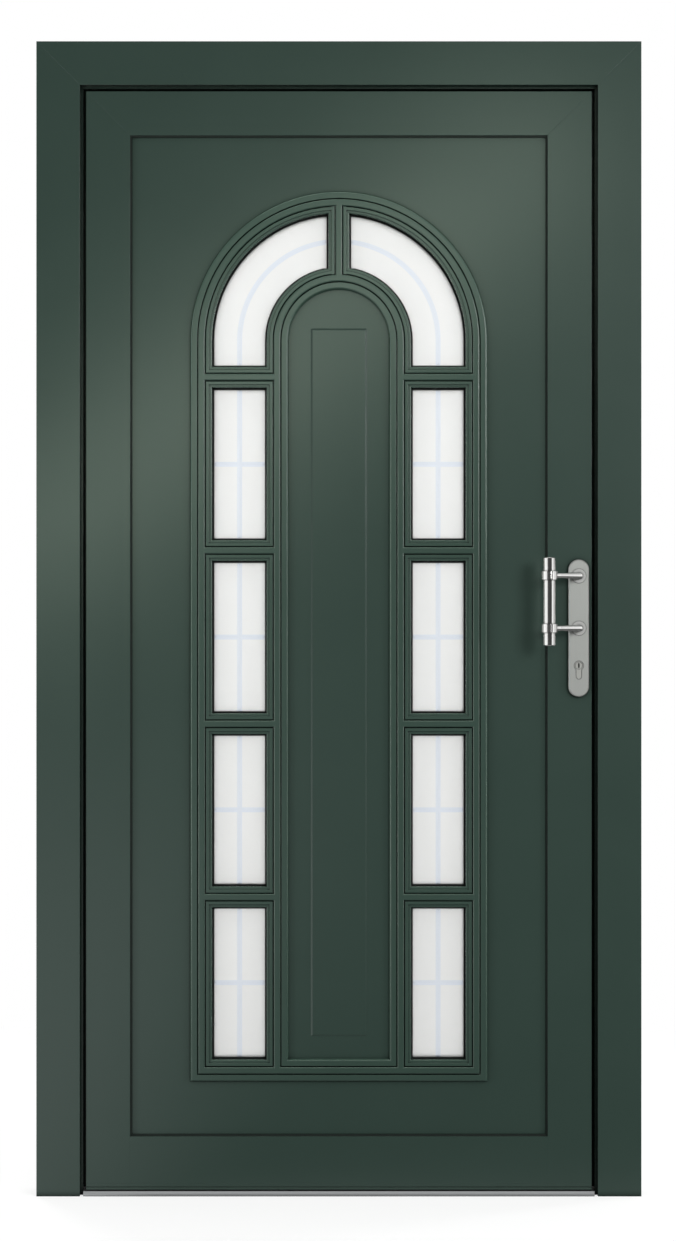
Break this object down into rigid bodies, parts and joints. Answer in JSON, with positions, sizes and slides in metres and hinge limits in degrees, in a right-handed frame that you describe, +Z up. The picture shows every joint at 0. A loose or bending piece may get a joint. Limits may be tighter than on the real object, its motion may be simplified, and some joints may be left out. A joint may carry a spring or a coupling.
{
  "type": "panelled front door",
  "caption": "Inward-opening aluminium front door in its frame, with an arched moulding round frosted panes, a pull bar outside and a lever inside.",
  "frame": {"origin": "middle of the threshold's underside, half way through the frame's depth", "axes": "+Z up, +X towards the lock jamb as seen from outside, -Y outside, +Y inside"},
  "size_m": [1.1, 0.212, 2.1],
  "materials": {
    "frame_green": "powder coat, fine satin",
    "leaf_green": "powder coat, fine satin",
    "panel_green": "powder coat, fine satin",
    "moulding_green": "powder coat, fine satin",
    "hinge_green": "powder coat, fine satin",
    "bare_aluminium": "anodised, matt",
    "seal_rubber": "extruded, matt",
    "frosted_glass": "satin etched with polished grooves",
    "foam": "rigid foam",
    "handle_steel": "brushed and polished",
    "lock_steel": "rolled, zinc plated",
    "screw_steel": "zinc plated",
    "cylinder_nickel": "nickel plated"
  },
  "bodies": {
    "frame": {"hinge_jamb": "frame_green", "lock_jamb": "frame_green", "frame_head": "frame_green", "frame_corner_cleats": "bare_aluminium", "threshold": "bare_aluminium", "frame_seal": "seal_rubber", "main_strike": "lock_steel", "bolt_strikes": "lock_steel", "strike_screws": "screw_steel", "hinge_frame_part_top": "hinge_green", "hinge_frame_part_middle": "hinge_green", "hinge_frame_part_bottom": "hinge_green", "hinge_pins": "lock_steel", "hinge_frame_screws": "screw_steel"},
    "leaf": {"hinge_stile": "leaf_green", "lock_stile": "leaf_green", "top_rail": "leaf_green", "bottom_rail": "leaf_green", "bottom_seal_carrier": "leaf_green", "glazing_beads_side": "leaf_green", "glazing_beads_end": "leaf_green", "infill_outer_sheet": "panel_green", "infill_inner_sheet": "panel_green", "outer_moulding": "moulding_green", "inner_moulding": "moulding_green", "hinge_leaf_part_top": "hinge_green", "hinge_leaf_part_middle": "hinge_green", "hinge_leaf_part_bottom": "hinge_green", "leaf_corner_cleats": "bare_aluminium", "bottom_seal": "seal_rubber", "infill_outer_gasket": "seal_rubber", "infill_inner_gasket": "seal_rubber", "pane_seals_outer": "seal_rubber", "pane_seals_inner": "seal_rubber", "arch_pane_left": "frosted_glass", "arch_pane_right": "frosted_glass", "side_panes_left": "frosted_glass", "side_panes_right": "frosted_glass", "infill_core": "foam", "outer_plate": "handle_steel", "pull_bar": "handle_steel", "pull_arm_upper": "handle_steel", "pull_arm_lower": "handle_steel", "inner_plate": "handle_steel", "lock_faceplate": "lock_steel", "lock_case": "lock_steel", "bolt_cases": "lock_steel", "hinge_leaf_screws": "screw_steel", "faceplate_screws": "screw_steel", "plate_screws": "screw_steel", "cylinder_body": "cylinder_nickel"},
    "lever": {"lever_handle": "handle_steel", "spindle": "lock_steel"},
    "latch": {"latch_bolt": "lock_steel"},
    "key_plug": {"cylinder_plug": "cylinder_nickel"},
    "main_bolt": {"dead_bolt": "lock_steel"},
    "top_bolt": {"upper_bolt": "lock_steel"},
    "low_bolt": {"lower_bolt": "lock_steel"},
    "rod": {"drive_rod": "lock_steel"}
  },
  "joints": [
    {"name": "leaf_swing", "type": "hinge", "parent": "frame", "child": "leaf", "pos_m": [-0.484, 0.056, 1.03], "axis": [0, 0, 1], "range_deg": [0, 110]},
    {"name": "lever_turn", "type": "hinge", "parent": "leaf", "child": "lever", "pos_m": [0.436, 0.048, 1.057], "axis": [0, -1, 0], "range_deg": [0, 40], "stiffness_Nm_per_rad": 1.2, "springref_deg": -20.05},
    {"name": "latch_slide", "type": "slide", "parent": "leaf", "child": "latch", "axis": [-1, 0, 0], "range_m": [0, 0.011]},
    {"name": "plug_turn", "type": "hinge", "parent": "leaf", "child": "key_plug", "pos_m": [0.436, 0, 0.965], "axis": [0, -1, 0], "range_deg": [0, 360]},
    {"name": "main_bolt_slide", "type": "slide", "parent": "leaf", "child": "main_bolt", "axis": [1, 0, 0], "range_m": [0, 0.02]},
    {"name": "top_bolt_slide", "type": "slide", "parent": "leaf", "child": "top_bolt", "axis": [1, 0, 0], "range_m": [0, 0.02]},
    {"name": "low_bolt_slide", "type": "slide", "parent": "leaf", "child": "low_bolt", "axis": [1, 0, 0], "range_m": [0, 0.02]},
    {"name": "rod_slide", "type": "slide", "parent": "leaf", "child": "rod", "axis": [0, 0, 1], "range_m": [0, 0.018]}
  ],
  "couplings": [
    {"joint": "latch_slide", "follows": "lever_turn", "m_per_rad": 0.015756},
    {"joint": "plug_turn", "follows": "main_bolt_slide", "rad_per_m": 314.16},
    {"joint": "top_bolt_slide", "follows": "main_bolt_slide", "ratio": 1},
    {"joint": "low_bolt_slide", "follows": "main_bolt_slide", "ratio": 1},
    {"joint": "rod_slide", "follows": "main_bolt_slide", "ratio": 0.9}
  ]
}
